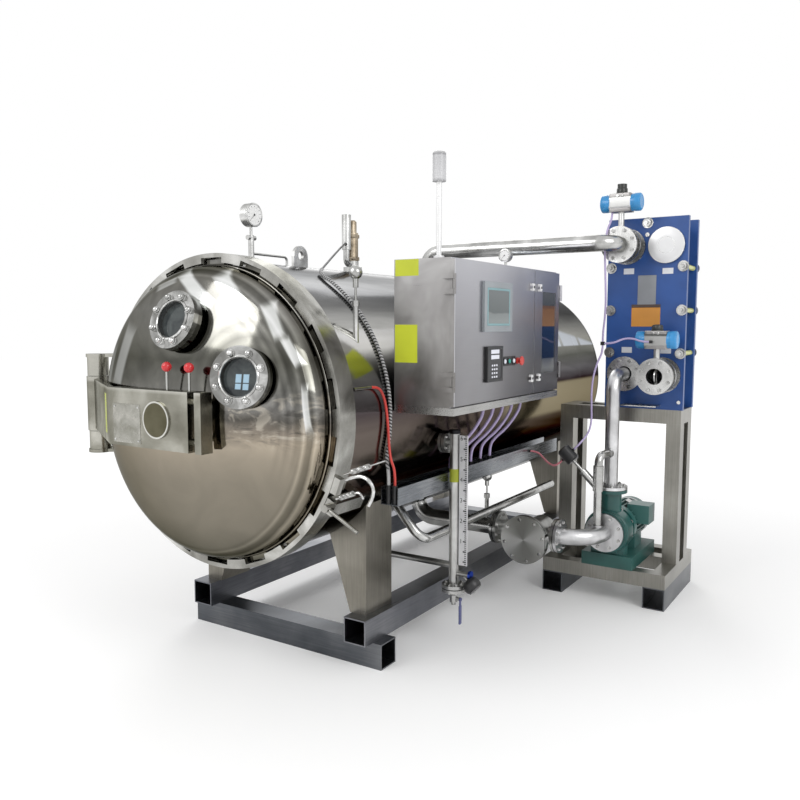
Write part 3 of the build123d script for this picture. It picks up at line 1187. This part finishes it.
with BuildPart() as pump:
    volute_y = (PUMP_FACE + FLANGE_T, PUMP_OUT_Y + VOLUTE_T / 2)
    rod((PUMP_X, volute_y[0], PUMP_Z), (PUMP_X, volute_y[1], PUMP_Z), VOLUTE_R)
    fillet(pump.edges().filter_by(GeomType.CIRCLE), VOLUTE_EDGE)
    rod((PUMP_X, PUMP_FACE, PUMP_Z), (PUMP_X, PUMP_OUT_Y, PUMP_Z), PUMP_FLANGE_R - VOLUTE_EDGE)
    rod((PUMP_X, PUMP_FACE, PUMP_Z), (PUMP_X, PUMP_FACE + FLANGE_T, PUMP_Z), PUMP_FLANGE_R)
    rod((PUMP_X, PUMP_OUT_Y, PUMP_Z), (PUMP_X, PUMP_OUT_Y, PUMP_OUT_Z - FLANGE_T), PUMP_NECK_R)
    rod((PUMP_X, PUMP_OUT_Y, PUMP_OUT_Z - FLANGE_T), (PUMP_X, PUMP_OUT_Y, PUMP_OUT_Z), PIPE_FLANGE_R)
    rod((PUMP_X, PUMP_OUT_Y, PUMP_Z), (PUMP_X, MOTOR_Y[0] - FIT, PUMP_Z), MOTOR_R)
    rod((PUMP_X, MOTOR_Y[0] - ADAPTER_T, PUMP_Z), (PUMP_X, MOTOR_Y[0] - FIT, PUMP_Z), ADAPTER_R)
    block(PUMP_X - PUMP_BASE_W / 3, PUMP_X + PUMP_BASE_W / 3, PUMP_OUT_Y - VOLUTE_T / 3,
          PUMP_OUT_Y + VOLUTE_T / 3, BASE_TOP + PUMP_BASE_T + FIT, PUMP_Z)
save(pump.part, "pump_casing")

with BuildPart() as motor:
    rod((PUMP_X, MOTOR_Y[0], PUMP_Z), (PUMP_X, MOTOR_Y[1], PUMP_Z), MOTOR_R)
    rod((PUMP_X, MOTOR_Y[0], PUMP_Z), (PUMP_X, MOTOR_Y[0] + ADAPTER_T, PUMP_Z), ADAPTER_R)
    rod((PUMP_X, MOTOR_Y[1] - TUBE / 2, PUMP_Z), (PUMP_X, MOTOR_Y[1], PUMP_Z), MOTOR_R + FIN_H)
    with BuildSketch(front_plane(MOTOR_Y[1] - TUBE / 2, PUMP_X, PUMP_Z)):
        with PolarLocations(MOTOR_R + FIN_H / 2 - 2, FINS):
            Rectangle(FIN_H + 4, FIN_T)
    extrude(amount=MOTOR_Y[1] - MOTOR_Y[0] - TUBE / 2 - ADAPTER_T)
    block(PUMP_X - MOTOR_R, PUMP_X + MOTOR_R, MOTOR_Y[0] + TUBE / 2, MOTOR_Y[1] - TUBE,
          BASE_TOP + PUMP_BASE_T + FIT, PUMP_Z - MOTOR_R / 2)
    block(PUMP_X + MOTOR_R / 2, PUMP_X + MOTOR_R + TERMINAL_W, MOTOR_Y[0] + TUBE / 2,
          MOTOR_Y[0] + 1.5 * TUBE, PUMP_Z + TERMINAL_UP, PUMP_Z + TERMINAL_UP + TERMINAL_H)
save(motor.part, "pump_motor")

# Suction line: elbow, joints, tee with a blind flange, and the pipe into the vessel; the riser
bypass_way = (Vector(ANGLE_X, ANGLE_Y) - Vector(PUMP_X, PUMP_OUT_Y)).normalized()
riser_spot = Vector(PUMP_X, PUMP_OUT_Y, ANGLE_TOP)
riser_boss = riser_spot + bypass_way * (RISER_R + BOSS_OUT)
elbow_boss = Vector(ANGLE_X, ANGLE_Y, PUMP_Z + PIPE_R + BOSS_OUT)
with BuildPart() as suction:
    rod((PUMP_X, PUMP_OUT_Y, PUMP_OUT_Z + FIT), (PUMP_X, PUMP_OUT_Y, PUMP_OUT_Z + FLANGE_T), PIPE_FLANGE_R)
    pipe_run(((PUMP_X, PUMP_OUT_Y, PUMP_OUT_Z + FIT), (PUMP_X, PUMP_OUT_Y, port_z),
              (PUMP_X, port_face - FIT, port_z)), 2.4 * RISER_R, RISER_R)
    rod(riser_spot, riser_boss, ANGLE_BODY_R)
    rod((PUMP_X, PUMP_FACE - FIT, PUMP_Z), (PUMP_X, PUMP_FACE - FLANGE_T, PUMP_Z), PUMP_INLET_R)
    pipe_run(((PUMP_X, PUMP_FACE - FIT, PUMP_Z), (PUMP_X, SUCTION_Y, PUMP_Z), (JOINT_X, SUCTION_Y, PUMP_Z)),
             SUCTION_BEND, PIPE_R)
    rod((ANGLE_X, ANGLE_Y, PUMP_Z), elbow_boss, ANGLE_BODY_R)
    rod((JOINT_X, SUCTION_Y, PUMP_Z), (JOINT_X + FLANGE_T, SUCTION_Y, PUMP_Z), PIPE_FLANGE_R)
save(suction.part, "pump_pipes")

with BuildPart() as tee:
    rod((JOINT_X - FIT, SUCTION_Y, PUMP_Z), (JOINT_X - FLANGE_T, SUCTION_Y, PUMP_Z), PIPE_FLANGE_R)
    rod((JOINT_X - FIT, SUCTION_Y, PUMP_Z), (LEFT_JOINT_X + FIT, SUCTION_Y, PUMP_Z), PIPE_R)
    rod((LEFT_JOINT_X + FLANGE_T, SUCTION_Y, PUMP_Z), (LEFT_JOINT_X + FIT, SUCTION_Y, PUMP_Z), PIPE_FLANGE_R)
    rod((TEE_X, SUCTION_Y + TEE_R, PUMP_Z), (TEE_X, BLIND_Y + FLANGE_T + FIT, PUMP_Z), TEE_R)
    rod((TEE_X, BLIND_Y + 2 * FLANGE_T, PUMP_Z), (TEE_X, BLIND_Y + FLANGE_T + FIT, PUMP_Z), BLIND_R)
    rod((TEE_X, BLIND_Y + FLANGE_T, PUMP_Z), (TEE_X, BLIND_Y, PUMP_Z), BLIND_R)
save(tee.part, "suction_tee")

with BuildPart() as inlet:
    rod((LEFT_JOINT_X, SUCTION_Y, PUMP_Z), (LEFT_JOINT_X - FLANGE_T, SUCTION_Y, PUMP_Z), PIPE_FLANGE_R)
    pipe_run(((LEFT_JOINT_X, SUCTION_Y, PUMP_Z), (INLET_X, SUCTION_Y, PUMP_Z),
              (INLET_X, SUCTION_Y, AXIS_Z - BORE_R)), 2.3 * INLET_R, INLET_R)
    with BuildSketch(front_plane(VESSEL_END)):
        Circle(JACKET_R + FIT)
    extrude(amount=2 * VESSEL_END, mode=Mode.SUBTRACT)
save(inlet.part, "vessel_outlet_pipe")

# Steam line along the lower right side, bent into the vessel at its front end
with BuildPart() as steam:
    rise = AXIS_Z - STEAM_Z
    reach = BORE_R / math.hypot(STEAM_X, rise)
    pipe_run(((STEAM_X * reach, STEAM_Y[0], AXIS_Z - rise * reach), (STEAM_X, STEAM_Y[0], STEAM_Z),
              (STEAM_X, STEAM_Y[1], STEAM_Z)), 3 * STEAM_R, STEAM_R)
    with BuildSketch(front_plane(VESSEL_END)):
        Circle(JACKET_R + FIT)
    extrude(amount=2 * VESSEL_END, mode=Mode.SUBTRACT)
save(steam.part, "steam_line")

# Angle-seat valve on the bypass from the suction elbow to the riser
seat = Vector(ANGLE_X, ANGLE_Y, ANGLE_SEAT_Z)
lean = Vector(-math.sin(math.radians(ANGLE_TILT)), 0, math.cos(math.radians(ANGLE_TILT)))
square = Vector(lean.Z, 0, -lean.X)
neck_end = seat + lean * ANGLE_NECK_LEN
stem_end = neck_end + lean * ANGLE_STEM_LEN
with BuildPart() as angle_valve:
    pipe_run((elbow_boss + Vector(0, 0, FIT), (ANGLE_X, ANGLE_Y, ANGLE_TOP), riser_boss + bypass_way * FIT),
             2 * ANGLE_PIPE_R, ANGLE_PIPE_R)
    rod((ANGLE_X, ANGLE_Y, ANGLE_BODY_Z[0]), (ANGLE_X, ANGLE_Y, ANGLE_BODY_Z[1]), ANGLE_BODY_R)
    rod(seat, neck_end, ANGLE_NECK_R)
    rod(neck_end, stem_end, ANGLE_STEM_R)
save(angle_valve.part, "angle_seat_valve")

# Black grips: the head of the angle valve and the knob of the gauge's side valve
head_start = stem_end + lean * FIT
head_centre = head_start + lean * (ANGLE_HEAD_LEN / 2)
knob_start = grip_root + grip_way * (GRIP_STEM_LEN + FIT)
with BuildPart() as grips:
    rod(head_start, head_start + lean * ANGLE_HEAD_LEN, ANGLE_HEAD_R)
    chamfer(grips.edges().filter_by(GeomType.CIRCLE), ANGLE_HEAD_R / 5)
    rod(knob_start, knob_start + grip_way * GRIP_LEN, GRIP_R / 3)
    rod(knob_start + grip_way * (GRIP_LEN / 3), knob_start + grip_way * GRIP_LEN, GRIP_R)
save(grips.part, "valve_grips")

# Ports and glands that the hoses and cables run between
port_reach = ANGLE_HEAD_R + FIT
pink_port = head_centre - square * (port_reach + HOSE_PORT_LEN)
lilac_port = head_centre + square * (port_reach + HOSE_PORT_LEN)
top_middle = (wafer_front + wafer_rear) / 2
low_front = top_middle - ACT_H / 2 - FIT
low_act_z = port_z + LOW_ACT_RISE
low_port = Vector(EX_X + PORT_DX - ACT_LEN / 6, low_front - HOSE_PORT_R, low_act_z - ACT_H / 8)
gland_z = TRAY_Z + TRAY_H + TUBE_T
sender_way = Vector(LEAD_RUN_X, -LEAD_RUN_Y, 0).normalized()
sender_gland = Vector(0, sender_y, sender_z + LEAD_UP) + sender_way * (SENDER_R + FIT)
lead_start = sender_gland + sender_way * (HOSE_PORT_LEN + FIT)
upper_glands = [(CAB_HOSE_X, CAB_HOSE_Y + index * CAB_HOSE_STEP) for index in range(CAB_HOSES)]
lower_glands = [(TRAY_HOSE_X, y - CAB_HOSE_BACK) for x, y in upper_glands]
with BuildPart() as glands:
    rod(head_centre - square * port_reach, pink_port, HOSE_PORT_R)
    rod(head_centre + square * port_reach, lilac_port, HOSE_PORT_R)
    block(low_port.X - HOSE_PORT_R, low_port.X + HOSE_PORT_R, low_port.Y - HOSE_PORT_R,
          low_port.Y + HOSE_PORT_R, low_port.Z - HOSE_PORT_R, low_port.Z + HOSE_PORT_R)
    block(TEE_SPOT[0] - TEE_HALF, TEE_SPOT[0] + TEE_HALF, TEE_SPOT[1] - TEE_HALF, TEE_SPOT[1] + TEE_HALF,
          TEE_SPOT[2] - TEE_HALF, TEE_SPOT[2] + TEE_HALF)
    rod(sender_gland, sender_gland + sender_way * HOSE_PORT_LEN, HOSE_PORT_R)
    for x, y in upper_glands:
        rod((x, y, CAB_Z - FIT), (x, y, CAB_Z - CAB_GLAND_H), GLAND_R)
    for x, y in lower_glands + [SLEEVE_GLAND, RED_GLAND]:
        rod((x, y, TRAY_Z + TRAY_T + FIT), (x, y, gland_z), GLAND_R)
    rod((TRAY_X + TRAY_W + FIT, *PINK_GLAND), (TRAY_X + TRAY_W + HOSE_PORT_LEN, *PINK_GLAND), HOSE_PORT_R)
save(glands.part, "hose_glands")

# Sleeved cable from the transmitter, over the jacket and down to the tray
sleeve_start = Vector(*SLEEVE_START)
lead_corner = lead_start + sender_way * LEAD_RUN
lead_way = (sleeve_start - lead_corner).normalized()
sleeve_run = [sleeve_start + lead_way * FIT, sleeve_start + lead_way * SLEEVE_LEAD_IN,
              round_jacket(SLEEVE_TOP_TURN, SLEEVE_RUN_R, SLEEVE_Y + SLEEVE_TOP_BACK)]
sleeve_run += [round_jacket(turn, SLEEVE_RUN_R, SLEEVE_Y) for turn in SLEEVE_TURNS]
sleeve_run += [round_jacket(SLEEVE_END_TURN, SLEEVE_RUN_R, SLEEVE_Y + SLEEVE_END_BACK),
               (*SLEEVE_GLAND, SLEEVE_DROP_Z), (*SLEEVE_GLAND, gland_z + FIT)]
with BuildPart() as cable:
    hose("lead", (lead_start, lead_corner, sleeve_start), LEAD_R)
    hose("sleeve", sleeve_run, SLEEVE_CABLE_R)
save(cable.part, "sleeved_cable")

# Red hose from the interlock's air tube down to the tray
with BuildPart() as red:
    hose("red hose", ((TUBE_X, AIR_TUBE_Y[1] + FIT, TUBE_Z), (TUBE_X, RED_BEND_Y, TUBE_Z), *RED_RUN,
                      (*RED_GLAND, RED_DROP_Z), (*RED_GLAND, gland_z + FIT)), RED_HOSE_R)
save(red.part, "red_hose")

# Five hoses from the cabinet's floor into the tray
with BuildPart() as cabinet_hoses:
    for index, (x, y) in enumerate(upper_glands):
        tray_y = y - CAB_HOSE_BACK
        sags = [(sag_x, y - back, sag_z) for sag_x, back, sag_z in CAB_HOSE_SAGS]
        hose(f"cabinet hose {index + 1}",
             ((x, y, CAB_Z - CAB_GLAND_H - FIT), (x, y, CAB_HOSE_TOP_Z), *sags,
              (TRAY_HOSE_X, tray_y, CAB_HOSE_END_Z), (TRAY_HOSE_X, tray_y, gland_z + FIT)), CAB_HOSE_R)
save(cabinet_hoses.part, "cabinet_hoses")

# Air hoses: from both actuators through a tee to the angle valve, and from the tray to it
with BuildPart() as air_hoses:
    tee_x, tee_y, tee_z = TEE_SPOT
    top_act_z = top_port + TOP_ACT_RISE - ACT_H / 2
    hose("upper air hose",
         ((*UPPER_AIR_PORT, top_act_z - FIT), *UPPER_AIR_RUN, (tee_x, tee_y, UPPER_AIR_END_Z),
          (tee_x, tee_y, tee_z + TEE_HALF + FIT)), AIR_HOSE_R)
    hose("lower air hose",
         (low_port - Vector(HOSE_PORT_R + FIT, 0, 0), (LOWER_AIR_START_X, low_port.Y, low_port.Z), *LOWER_AIR_RUN,
          (LOWER_AIR_END_X, tee_y, tee_z), (tee_x + TEE_HALF + FIT, tee_y, tee_z)), AIR_HOSE_R)
    hose("valve air hose",
         ((tee_x, tee_y, tee_z - TEE_HALF - FIT), (tee_x, tee_y, VALVE_AIR_START_Z), *VALVE_AIR_RUN,
          lilac_port + square * VALVE_AIR_LEAD, lilac_port + square * FIT), AIR_HOSE_R)
    hose("tray air hose",
         ((TRAY_X + TRAY_W + HOSE_PORT_LEN + FIT, *PINK_GLAND), (TRAY_AIR_START_X, *PINK_GLAND), *TRAY_AIR_RUN,
          pink_port - square * TRAY_AIR_LEAD, pink_port - square * FIT), AIR_HOSE_R)
save(air_hoses.part, "air_hoses")
